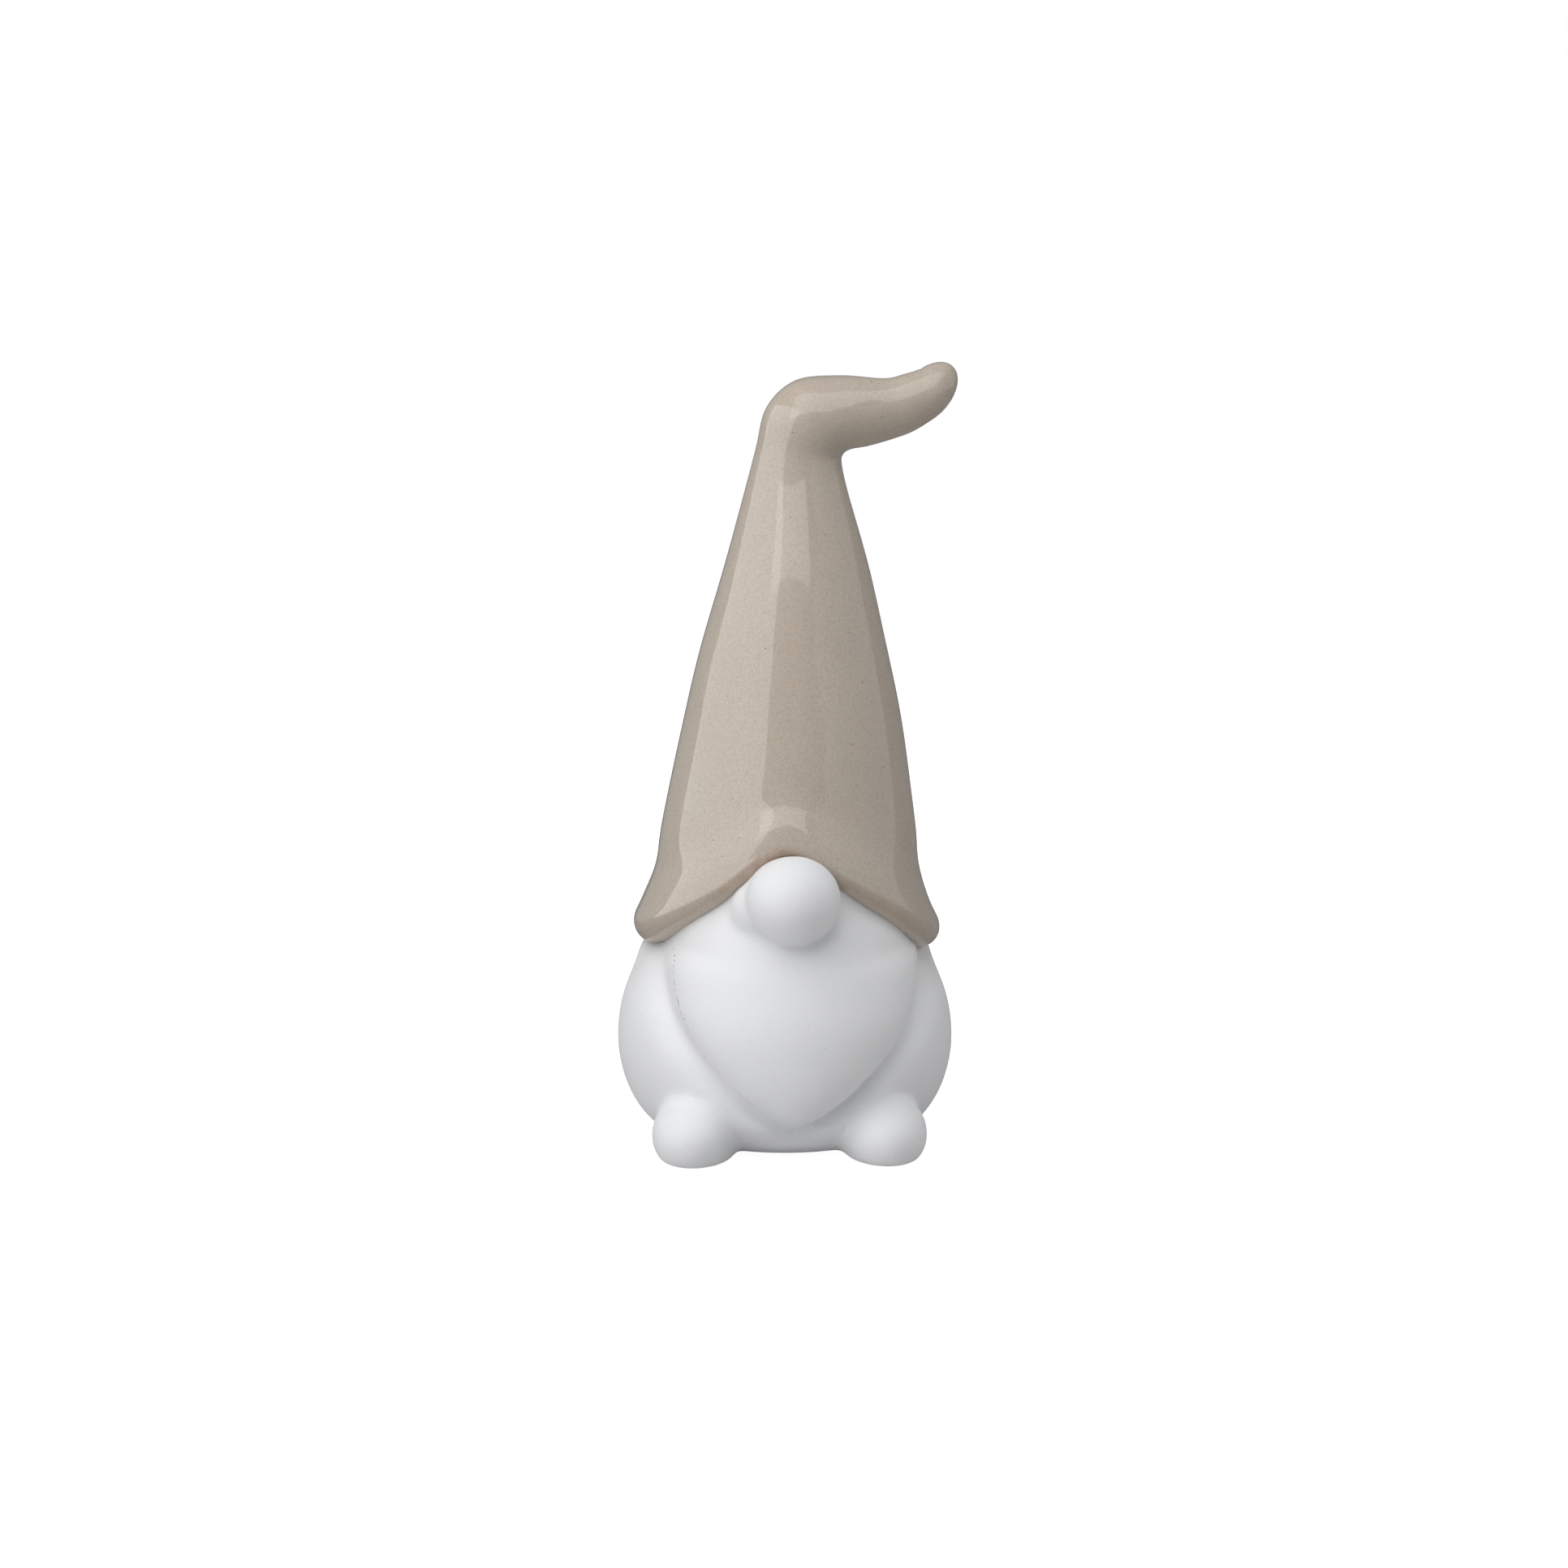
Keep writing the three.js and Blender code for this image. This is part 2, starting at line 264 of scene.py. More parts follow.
nose = {
    "centre": (0.6, -34.6, 61.4),
    "radii": (10.7, 10.4, 9.9),
    "rootCentre": (0.0, -27.8, 61.0),  # the clay pressed in behind it, up under the brim
    "rootRadii": (10.4, 7.6, 9.6),
    "cheekCentre": (-4.6, -28.9, 58.2),  # and the thumbed-on clay beside it, on the figure's right
    "cheekRadii": (8.8, 7.8, 7.6),
    "crispFrom": (-5, 4),  # from here on towards the figure's left its edge stays crisp
    "crispReach": (1.25, 1.7),  # in nose radii
}
foot = {
    "centre": (21.2, -27.0, 5.6),
    "radii": (10.2, 14.1, 9.4),
    "toeOut": 10,  # degrees
}
egg = {"segments": 64, "rings": 40}


def makeEgg(name, centre, radii, turn=0.0):
    clearSelection()
    bpy.ops.mesh.primitive_uv_sphere_add(
        segments=egg["segments"], ring_count=egg["rings"], radius=1,
        location=at(*centre), rotation=(0, 0, turn), scale=tuple(r * mm for r in radii),
    )
    piece = bpy.context.object
    piece.name = name
    settle(piece)
    return piece


def flatUnder(piece):
    # cuts away what is below the floor and closes the cut
    pick(piece)
    bpy.ops.object.mode_set(mode="EDIT")
    bpy.ops.mesh.select_all(action="SELECT")
    bpy.ops.mesh.bisect(plane_co=at(0, 0, 0), plane_no=(0, 0, 1), use_fill=True, clear_inner=True)
    bpy.ops.object.mode_set(mode="OBJECT")


clay = {
    "voxel": 0.7,
    "smoothing": 12,
    "softer": 20,  # smoothed this much more, but not at the nose's crisp left side
    "bodyMargin": 0.3,  # how proud of the ball a luted section starts
    "seat": 1.0,  # depth of the ball's seats under the luted sections
    "back": 0.6,  # depth of the sections' own backs
    "skin": 0.3,  # a luted section's thickness before its back is seated
    "softening": 0.5,  # strength of each round of smoothing
    "underside": 0.3,  # lower than this is the flat underside
    "undersideMargin": 2,
    "sectionsEnd": -8,  # the luted sections lie in front of this
    "noseSpread": 1.25,  # how many radii round the nose belong to it
    "footSpread": 1.4,
    "smallestSection": 300,  # faces; fewer than this is a crumb
}

print("clay: ball, beard, nose and feet")
clayForm = makeBall("clayForm")
beardClay = makeBeard()
noseClay = makeEgg("noseClay", nose["centre"], nose["radii"])
noseRoot = makeEgg("noseRoot", nose["rootCentre"], nose["rootRadii"])
noseCheek = makeEgg("noseCheek", nose["cheekCentre"], nose["cheekRadii"])
feetClay = []
for side in (1, -1):
    x, y, z = foot["centre"]
    footClay = makeEgg("footClay", (side * x, y, z), foot["radii"], side * math.radians(foot["toeOut"]))
    flatUnder(footClay)
    feetClay.append(footClay)
pick(clayForm, beardClay, noseClay, noseRoot, noseCheek, *feetClay)
bpy.ops.object.join()
remesh = clayForm.modifiers.new("oneSkin", "REMESH")
remesh.mode = "VOXEL"
remesh.voxel_size = clay["voxel"] * mm
remesh.use_smooth_shade = True
applyAll(clayForm)
softer = clayForm.vertex_groups.new(name="softer")
for vertex in clayForm.data.vertices:
    x, y, z = drawing(vertex.co)
    away = math.sqrt(sum(((p - c) / r) ** 2 for p, c, r in zip((x, y, z), nose["centre"], nose["radii"])))
    crisp = smoothStep(x, *nose["crispFrom"]) * (1 - smoothStep(away, *nose["crispReach"]))
    softer.add([vertex.index], 1 - crisp, "REPLACE")
for name, group, times in (("soften", "", clay["smoothing"]), ("softer", "softer", clay["softer"])):
    soften = clayForm.modifiers.new(name, "SMOOTH")
    soften.factor = clay["softening"]
    soften.iterations = times
    soften.vertex_group = group
applyAll(clayForm)
print("clay faces:", len(clayForm.data.polygons))


def insideEgg(x, y, z, centre, radii, grow):
    dx, dy, dz = (x - centre[0]) / radii[0], (y - centre[1]) / radii[1], (z - centre[2]) / radii[2]
    return dx * dx + dy * dy + dz * dz < grow * grow


def sectionOf(point):
    # which of the luted sections a place on the clay belongs to
    x, y, z = drawing(point)
    footHere = "foot_left" if x > 0 else "foot_right"
    if z < clay["underside"]:
        underBall = math.hypot(x, y) < ball["outline"][0][0] + clay["undersideMargin"]
        return "body_shell" if underBall else footHere
    for centre, radii in (("centre", "radii"), ("rootCentre", "rootRadii"), ("cheekCentre", "cheekRadii")):
        if insideEgg(x, y, z, nose[centre], nose[radii], clay["noseSpread"]):
            return "nose"
    if y > clay["sectionsEnd"] or math.hypot(x, y) - ballRadius(z) < clay["bodyMargin"]:
        return "body_shell"
    if insideEgg(abs(x), y, z, foot["centre"], foot["radii"], clay["footSpread"]):
        return footHere
    return "beard"


def copyOf(source, name):
    piece = source.copy()
    piece.data = source.data.copy()
    bpy.context.scene.collection.objects.link(piece)
    piece.name = name
    piece.data.name = name
    return piece


def pullTo(piece, target, group):
    pull = piece.modifiers.new("ontoTheBall", "SHRINKWRAP")
    pull.target = target
    pull.wrap_method = "NEAREST_SURFACEPOINT"
    pull.vertex_group = group


def lutedSection(name, faceSections, backForm):
    # the skin of one section, given a back that sits on the ball
    piece = copyOf(clayForm, name + "_clay")
    mesh = bmesh.new()
    mesh.from_mesh(piece.data)
    mesh.faces.ensure_lookup_table()
    others = [f for f in mesh.faces if faceSections[f.index] != name]
    bmesh.ops.delete(mesh, geom=others, context="FACES")
    mesh.to_mesh(piece.data)
    mesh.free()
    piece.vertex_groups.new(name="back")
    thicken = piece.modifiers.new("thicken", "SOLIDIFY")
    thicken.thickness = clay["skin"] * mm
    thicken.offset = -1
    thicken.shell_vertex_group = "back"
    pullTo(piece, backForm, "back")
    applyAll(piece)
    return piece


def joinCrumbs(form, faceSections):
    # a few faces cut off from their own section go to the section round them
    mesh = bmesh.new()
    mesh.from_mesh(form.data)
    mesh.faces.ensure_lookup_table()
    left = set(range(len(mesh.faces)))
    while left:
        start = left.pop()
        group, waiting, beside = [start], [start], []
        while waiting:
            for edge in mesh.faces[waiting.pop()].edges:
                for other in edge.link_faces:
                    if faceSections[other.index] != faceSections[start]:
                        beside.append(faceSections[other.index])
                    elif other.index in left:
                        left.discard(other.index)
                        group.append(other.index)
                        waiting.append(other.index)
        if len(group) < clay["smallestSection"] and beside:
            newSection = max(sorted(set(beside)), key=beside.count)
            for index in group:
                faceSections[index] = newSection
    mesh.free()


hollow = {
    "sides": 96,
    "rings": 48,
    "wall": 3.6,
    "floor": 4.5,
    "pourHole": 12,  # radius, as the neck hole's
    "neckHole": 11,
    "mouthEase": 0.6,  # the wiped edge of the pour hole
    "holeStart": -0.3,  # the cutting form starts just below the underside
    "holeMiddle": 2.5,
    "aboveNeck": 3,  # and ends this far above the neck
}


def makeHollow():
    # the cast hollow with its pour hole and its neck hole, as one turned form
    rings = hollow["rings"]
    low, high = hollow["floor"], ball["neckTop"] - hollow["wall"]
    holeHeights = (hollow["holeStart"], hollow["mouthEase"], hollow["holeMiddle"], low)
    neckHeights = (high, ball["neckTop"] + hollow["aboveNeck"])
    holeRings, neckRings = len(holeHeights), len(neckHeights)

    def place(ring, angle):
        if ring < holeRings:
            radius = hollow["pourHole"] + (hollow["mouthEase"] if ring == 0 else 0)
            z = holeHeights[ring]
        elif ring >= rings - neckRings:
            radius, z = hollow["neckHole"], neckHeights[ring - rings + neckRings]
        else:
            z = low + (high - low) * (ring - holeRings) / (rings - holeRings - neckRings - 1)
            radius = ballRadius(z)
            if math.sin(angle) < 0:
                radius -= valley(radius * math.cos(angle), z)
            radius = max(radius - hollow["wall"], hollow["neckHole"])
        return at(radius * math.cos(angle), radius * math.sin(angle), z)

    return ringStack("hollow", hollow["sides"], rings, place)


def makeBody(faceSections, seatForm):
    piece = copyOf(clayForm, "body_shell_clay")
    inBody = {v for f in piece.data.polygons if faceSections[f.index] == "body_shell" for v in f.vertices}
    seats = piece.vertex_groups.new(name="seats")
    seats.add([v.index for v in piece.data.vertices if v.index not in inBody], 1.0, "REPLACE")
    pullTo(piece, seatForm, "seats")
    inside = makeHollow()
    cut = piece.modifiers.new("cast", "BOOLEAN")
    cut.operation = "DIFFERENCE"
    cut.object = inside
    cut.solver = "EXACT"
    applyAll(piece)
    bpy.data.objects.remove(inside)
    return piece


print("cutting the clay into its sections")
faceSections = [sectionOf(f.center) for f in clayForm.data.polygons]
joinCrumbs(clayForm, faceSections)
seatForm = makeBall("seatForm", clay["seat"])
backForm = makeBall("backForm", clay["back"])
sections = {"body_shell": makeBody(faceSections, seatForm)}
for name in ("beard", "nose", "foot_left", "foot_right"):
    sections[name] = lutedSection(name, faceSections, backForm)
for form in (clayForm, seatForm, backForm):
    bpy.data.objects.remove(form)
for name, piece in sections.items():
    outwards(piece)
    pick(piece)
    bpy.ops.object.shade_smooth_by_angle(angle=math.radians(40))
    print(name, "faces:", len(piece.data.polygons))
    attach(piece, "root")
    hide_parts(name)

# The hat is a glaze coat over a clay shell; both follow one form.

hat = {
    "sides": 144,
    "wallRings": 100,
    "rollAngles": [125, 113, 101, 89, 77, 65, 53, 41, 30, 19, 8, -3, -13],
    "rollStart": -22,  # the flared wall already leans out by this much where the roll begins
    "wallStart": 0.0197,  # share of the outline where the wall comes out of the roll
    "tipRings": 14,
    "outline": [  # left x, z and right x, z
        (-35.3, 50.4, 36.4, 48.4), (-32.9, 55.5, 33.4, 54.9), (-30.0, 63, 31.2, 63), (-28.5, 73, 30.4, 73),
        (-24.1, 93, 27.7, 93), (-19.8, 112, 23.9, 112), (-14.5, 131, 19.6, 131), (-9.4, 149, 14.4, 149),
        (-6.7, 159.2, 12.9, 155.7), (-4.2, 168.8, 13.2, 158), (2.4, 174.9, 15, 159.2), (12.6, 176, 19, 159.9),
        (22.5, 175.3, 25, 161.6), (27.2, 176.25, 29.5, 163.3), (31, 177.4, 33.8, 165.9),
    ],
    "tip": (39.3, 176.1),
    "roll": 5.0,  # radius of the rolled edge
    "rollShrink": 0.25,  # how much thinner the edge is at the front
    "rollOverNose": 0.32,  # how much thinner again the edge is over the nose
    "frontFlare": 2.3,  # how far the brim stands out at the front
    "flareReach": 9,  # and how high up that can be seen
    "arch": 17.6,  # how much higher the brim is at the front than at the sides
    "archEnds": 112,
    "peak": 5.6,  # and higher again over the nose
    "peakShift": -4,  # degrees, towards the figure's right
    "peakAngle": 18.5,
    "peakEnds": 92,
    "backDip": 1.5,
    "coneFoot": 73,  # above this height the outline is the plain cone
    "coneSteps": 400,
    "coat": 0.55,  # thickness of the glaze
    "clayWall": 2.4,
    "waver": 0.12,
    "waverStarts": 12,  # rings above the roll
    "noseAngle": 20,  # degrees to either side that the brim gives way to the nose
    "flareOverNose": 0.35,  # how much less it stands out there
    "flareBlend": (0.25, 0.85),  # from the sides' flare to the front's
    "edgeShare": 0.6,  # the roll's share that hangs below the brim's line
    "thinBand": 3.4,  # the glaze runs thin this far up from the edge
    "thinAngle": 24,
    "thinAllRound": 0.12,  # and a little round the whole edge
    "claySides": 72,
    "clayGap": 0.05,  # between the clay and the glaze
}


def hatRow(share):
    # middle x, height and half width of the hat at a share of its outline
    leftX, leftZ, rightX, rightZ = along(hat["outline"], share)
    return (leftX + rightX) / 2, (leftZ + rightZ) / 2, math.hypot(rightX - leftX, rightZ - leftZ) / 2


def coneAt(z):
    # middle x and half width of the plain cone; below its foot it runs on straight
    if "rows" not in hat:
        steps = hat["coneSteps"]
        hat["rows"] = [hatRow(i / steps) for i in range(steps + 1)]
    above = next(i for i, row in enumerate(hat["rows"]) if row[1] >= max(z, hat["coneFoot"]))
    a, b = hat["rows"][above - 1], hat["rows"][above]
    t = (z - a[1]) / (b[1] - a[1])
    return a[0] + t * (b[0] - a[0]), a[2] + t * (b[2] - a[2])


def brimLift(angle, z):
    # how far the brim's arch and its peak over the nose raise the hat here
    front = max(-math.sin(angle), 0.0)
    back = max(math.sin(angle), 0.0)
    fromFront = math.degrees(math.acos(min(max(-math.sin(angle), -1.0), 1.0)))
    aside = fromFront if math.cos(angle) > 0 else -fromFront
    peak = hat["peak"] * math.exp(-(((aside - hat["peakShift"]) / hat["peakAngle"]) ** 2))
    arch = hat["arch"] * front ** 2 - hat["backDip"] * back ** 2
    brimZ = hat["outline"][0][1]
    archHere = arch * (1 - smoothStep(z, brimZ, hat["archEnds"]))
    peakHere = peak * (1 - smoothStep(z, brimZ, hat["peakEnds"]))
    return archHere + peakHere


def handWaver(angle, z):
    # the slight unevenness of a hand-finished surface
    slow = math.sin(3 * angle + 0.055 * z)
    slower = 0.7 * math.sin(2 * angle - 0.12 * z + 1.3)
    quick = 0.25 * math.sin(5 * angle + 0.2 * z)
    return hat["waver"] * (slow + slower + quick)


def hatForm(inset):
    # the hat's outer skin, pulled in by an inset; ring by ring from the curled-in edge to the tip
    rolls, walls = len(hat["rollAngles"]), hat["wallRings"]
    brimZ = hat["outline"][0][1]
    start = math.radians(hat["rollStart"])

    def place(ring, angle):
        step = ring - rolls
        share = hat["wallStart"] + (1 - hat["wallStart"]) * min(max(step / (walls - 1), 0), 1)
        leftX, leftZ, rightX, rightZ = along(hat["outline"], share)
        middle = Vector(((leftX + rightX) / 2, (leftZ + rightZ) / 2))
        half = Vector(((rightX - leftX) / 2, (rightZ - leftZ) / 2))
        reach = half.length
        front = max(-math.sin(angle), 0.0)
        fromFront = math.degrees(math.acos(min(max(-math.sin(angle), -1.0), 1.0)))
        overNose = math.exp(-((fromFront / hat["noseAngle"]) ** 2))
        lift = brimLift(angle, middle.y)
        if lift:
            fromX, fromReach = coneAt(middle.y)
            toX, toReach = coneAt(middle.y + lift)
            middle.x += toX - fromX
            sideFlare = reach - fromReach
            softFlare = hat["frontFlare"] * (1 - hat["flareOverNose"] * overNose)
            softFlare *= math.exp(-(((middle.y - brimZ) / hat["flareReach"]) ** 2))
            blend = smoothStep(front, *hat["flareBlend"])
            reach = toReach + sideFlare * (1 - blend) + softFlare * blend
        rise = 0.0
        if step < 0:
            turn = math.radians(hat["rollAngles"][ring])
            roll = hat["roll"] * (1 - hat["rollShrink"] * front) * (1 - hat["rollOverNose"] * overNose)
            reach += roll * (math.cos(turn) - math.cos(start)) - inset * math.cos(turn)
            rise = -roll * (math.sin(turn) - math.sin(start)) + inset * math.sin(turn)
        elif step >= walls:
            turn = math.radians(90 * (step - walls + 1) / hat["tipRings"])
            middle = middle + (Vector(hat["tip"]) - Vector((inset, 0)) - middle) * math.sin(turn)
            reach = (reach - inset) * math.cos(turn)
        else:
            reach += handWaver(angle, middle.y) * smoothStep(step, 0, hat["waverStarts"]) - inset
        half = half.normalized() * reach
        x = middle.x + half.x * math.cos(angle)
        z = middle.y + half.y * math.cos(angle) + lift + rise
        return at(x, reach * math.sin(angle), z)

    return place


def makeHatGlaze():
    rings = len(hat["rollAngles"]) + hat["wallRings"] + hat["tipRings"]
    piece = ringStack("hat_glaze_coat", hat["sides"], rings, hatForm(0), closed=False)
    thin = piece.data.attributes.new("thinGlaze", "FLOAT", "POINT")
    for vertex in piece.data.vertices:
        # the glaze runs thin where the brim's edge turns over the nose
        x, y, z = drawing(vertex.co)
        angle = math.atan2(y, x)
        brimZ = hat["outline"][0][1]
        aboveEdge = z - brimZ - brimLift(angle, brimZ) + hat["roll"] * hat["edgeShare"]
        edge = 1 - smoothStep(aboveEdge, 0, hat["thinBand"])
        overNose = math.exp(-((math.degrees(angle + math.pi / 2) / hat["thinAngle"]) ** 2)) if y < 0 else 0
        allRound = hat["thinAllRound"]
        thin.data[vertex.index].value = edge * (allRound + (1 - allRound) * overNose)
    coat = piece.modifiers.new("coat", "SOLIDIFY")
    coat.thickness = hat["coat"] * mm
    coat.offset = -1
    applyAll(piece)
    pick(piece)
    bpy.ops.object.shade_smooth()
    return piece


def makeHatClay():
    # the bisque hat under the glaze: an outer skin and an inner one joined round the brim
    rings = len(hat["rollAngles"]) + hat["wallRings"] + hat["tipRings"]
    form = hatForm(hat["coat"] + hat["clayGap"])
    piece = ringStack("hat_shell_clay", hat["claySides"], rings, form, closed=False)
    wall = piece.modifiers.new("wall", "SOLIDIFY")
    wall.thickness = hat["clayWall"] * mm
    wall.offset = -1
    wall.thickness_clamp = 1
    applyAll(piece)
    pick(piece)
    bpy.ops.object.shade_smooth()
    return piece


print("hat: clay shell and glaze coat")
hatClay = makeHatClay()
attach(hatClay, "root")
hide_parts("hat_shell")
hatGlaze = makeHatGlaze()
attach(hatGlaze, "root")
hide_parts("hat_glaze")

# Three felt dots sit under the base.

feltDot = {
    "radius": 4.45,
    "sides": 72,
    "pressed": 0.94,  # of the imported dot's thickness
    "ease": 0.22,  # of its cut edges
    "easeSteps": 3,
    "fuzz": 0.035,
    "insets": 7,  # rings on its flat faces
    "insetStep": 0.55,
}


def makeFeltDot(node):
    low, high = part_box(node)
    middle = (low + high) / 2
    thick = high.z - low.z
    clearSelection()
    bpy.ops.mesh.primitive_cylinder_add(
        vertices=feltDot["sides"], radius=feltDot["radius"] * mm,
        depth=thick * feltDot["pressed"], location=middle,
    )
    piece = bpy.context.object
    piece.name = node + "_felt"
    settle(piece)
    pick(piece)
    bpy.ops.object.mode_set(mode="EDIT")
    bpy.ops.mesh.select_mode(type="FACE")
    bpy.ops.object.mode_set(mode="OBJECT")
    for face in piece.data.polygons:
        face.select = abs(face.normal.z) > 0.9
    bpy.ops.object.mode_set(mode="EDIT")
    for _ in range(feltDot["insets"]):
        bpy.ops.mesh.inset(thickness=feltDot["insetStep"] * mm)
    bpy.ops.mesh.select_all(action="SELECT")
    bpy.ops.mesh.normals_make_consistent(inside=False)
    bpy.ops.object.mode_set(mode="OBJECT")
    ease = piece.modifiers.new("ease", "BEVEL")
    ease.width = feltDot["ease"] * mm
    ease.segments = feltDot["easeSteps"]
    ease.limit_method = "ANGLE"
    ease.angle_limit = math.radians(60)
    applyAll(piece)
    for vertex in piece.data.vertices:
        # fibres standing a little in and out of the cut edge
        flat = vertex.co - middle
        angle = math.atan2(flat.y, flat.x)
        long = math.sin(angle * 23 + vertex.co.z * 9000)
        short = 0.6 * math.sin(angle * 41 + 1.7) + 0.4 * math.sin(angle * 67)
        share = (Vector((flat.x, flat.y)).length / (feltDot["radius"] * mm)) ** 4
        grow = 1 + share * (long + short) * feltDot["fuzz"] / feltDot["radius"]
        vertex.co.x = middle.x + flat.x * grow
        vertex.co.y = middle.y + flat.y * grow
    pick(piece)
    bpy.ops.object.shade_smooth_by_angle(angle=math.radians(50))
    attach(piece, "root")
    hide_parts(node)
    return piece


print("felt dots")
feltDots = [makeFeltDot("felt_dot_%d" % number) for number in (1, 2, 3)]

# The finishes.


def newFinish(name):
    finish = bpy.data.materials.new(name)
    finish.use_nodes = True
    return finish, finish.node_tree.nodes, finish.node_tree.links


def noiseNode(nodes, links, perMetre, detail=4.0, roughness=0.5, stretch=None):
    place = nodes.new("ShaderNodeTexCoord").outputs["Object"]
    if stretch:
        mapping = nodes.new("ShaderNodeMapping")
        mapping.inputs["Scale"].default_value = stretch
        links.new(place, mapping.inputs["Vector"])
        place = mapping.outputs["Vector"]
    noise = nodes.new("ShaderNodeTexNoise")
    noise.inputs["Scale"].default_value = perMetre
    noise.inputs["Detail"].default_value = detail
    noise.inputs["Roughness"].default_value = roughness
    links.new(place, noise.inputs["Vector"])
    return noise.outputs["Fac"]


def mixColours(nodes, links, factor, a, b):
    # a and b are plain colours or the outputs of nodes
    mix = nodes.new("ShaderNodeMix")
    mix.data_type = "RGBA"
    for socket, colour in ((mix.inputs[6], a), (mix.inputs[7], b)):
        if isinstance(colour, tuple):
            socket.default_value = (*colour, 1)
        else:
            links.new(colour, socket)
    links.new(factor, mix.inputs[0])
    return mix.outputs[2]


def ramp(nodes, links, value, low, high, atLow=0.0, atHigh=1.0):
    spread = nodes.new("ShaderNodeMapRange")
    spread.inputs["From Min"].default_value = low
    spread.inputs["From Max"].default_value = high
    spread.inputs["To Min"].default_value = atLow
    spread.inputs["To Max"].default_value = atHigh
    links.new(value, spread.inputs["Value"])
    return spread.outputs["Result"]


def addBump(nodes, links, height, distance, strength=1.0, under=None):
    bump = nodes.new("ShaderNodeBump")
    bump.inputs["Distance"].default_value = distance * mm
    bump.inputs["Strength"].default_value = strength
    links.new(height, bump.inputs["Height"])
    if under:
        links.new(under, bump.inputs["Normal"])
    return bump.outputs["Normal"]


def specks(nodes, links, perMetre, size, share):
    # small round specks, one in some of the cells of a Voronoi pattern
    place = nodes.new("ShaderNodeTexCoord").outputs["Object"]
    cells = nodes.new("ShaderNodeTexVoronoi")
    cells.inputs["Scale"].default_value = perMetre
    links.new(place, cells.inputs["Vector"])
    reach = size * mm * perMetre
    dot = ramp(nodes, links, cells.outputs["Distance"], reach * 0.6, reach, 1.0, 0.0)
    chosen = ramp(nodes, links, cells.outputs["Color"], 1 - share, 1 - share + 0.02)
    both = nodes.new("ShaderNodeMath")
    both.operation = "MULTIPLY"
    links.new(dot, both.inputs[0])
    links.new(chosen, both.inputs[1])
    return both.outputs["Value"]


bisqueLook = {
    "shade": (0.790, 0.797, 0.812),
    "pale": (0.812, 0.816, 0.824),
    "grain": (0.765, 0.772, 0.790),
    "speck": (0.45, 0.43, 0.42),
    "roughness": (0.62, 0.8),
    "specular": 0.3,
}


def makeBisque():
    finish, nodes, links = newFinish("bisque")
    shader = nodes["Principled BSDF"]
    shader.inputs["Specular IOR Level"].default_value = bisqueLook["specular"]
    clouds = ramp(nodes, links, noiseNode(nodes, links, 70, 3), 0.3, 0.7)
    body = mixColours(nodes, links, clouds, bisqueLook["shade"], bisqueLook["pale"])
    grain = ramp(nodes, links, noiseNode(nodes, links, 2600, 2), 0.35, 0.75)
    body = mixColours(nodes, links, grain, body, bisqueLook["grain"])
    body = mixColours(nodes, links, specks(nodes, links, 420, 0.11, 0.3), body, bisqueLook["speck"])
    links.new(body, shader.inputs["Base Color"])
    dry = ramp(nodes, links, noiseNode(nodes, links, 500, 3), 0.3, 0.7, *bisqueLook["roughness"])
    links.new(dry, shader.inputs["Roughness"])
    wiped = noiseNode(nodes, links, 240, 3, 0.55, (1.0, 1.0, 0.22))  # left by a damp sponge
    normal = addBump(nodes, links, wiped, 0.05)
    normal = addBump(nodes, links, noiseNode(nodes, links, 2600, 3), 0.022, 1.0, normal)
    links.new(normal, shader.inputs["Normal"])
    return finish


bareClayLook = {"dark": (0.66, 0.62, 0.56), "pale": (0.72, 0.69, 0.64), "roughness": (0.75, 0.9)}


def makeBareClay():
    finish, nodes, links = newFinish("bareClay")
    shader = nodes["Principled BSDF"]
    grain = ramp(nodes, links, noiseNode(nodes, links, 1800, 4), 0.3, 0.7)
    colour = mixColours(nodes, links, grain, bareClayLook["dark"], bareClayLook["pale"])
    links.new(colour, shader.inputs["Base Color"])
    dry = ramp(nodes, links, noiseNode(nodes, links, 700, 3), 0.3, 0.7, *bareClayLook["roughness"])
    links.new(dry, shader.inputs["Roughness"])
    links.new(addBump(nodes, links, noiseNode(nodes, links, 1800, 4), 0.03), shader.inputs["Normal"])
    return finish


glazeLook = {
    "sand": (0.500, 0.436, 0.367),
    "paleSand": (0.528, 0.464, 0.394),
    "mottle": (0.435, 0.372, 0.307),
    "warm": (0.54, 0.415, 0.315),
    "thinEdge": (0.40, 0.265, 0.185),
    "fineSpeck": (0.27, 0.22, 0.18),
    "darkSpeck": (0.13, 0.105, 0.09),
    "redSpeck": (0.36, 0.12, 0.07),
    "roughness": (0.02, 0.05),
    "ior": 1.56,
}


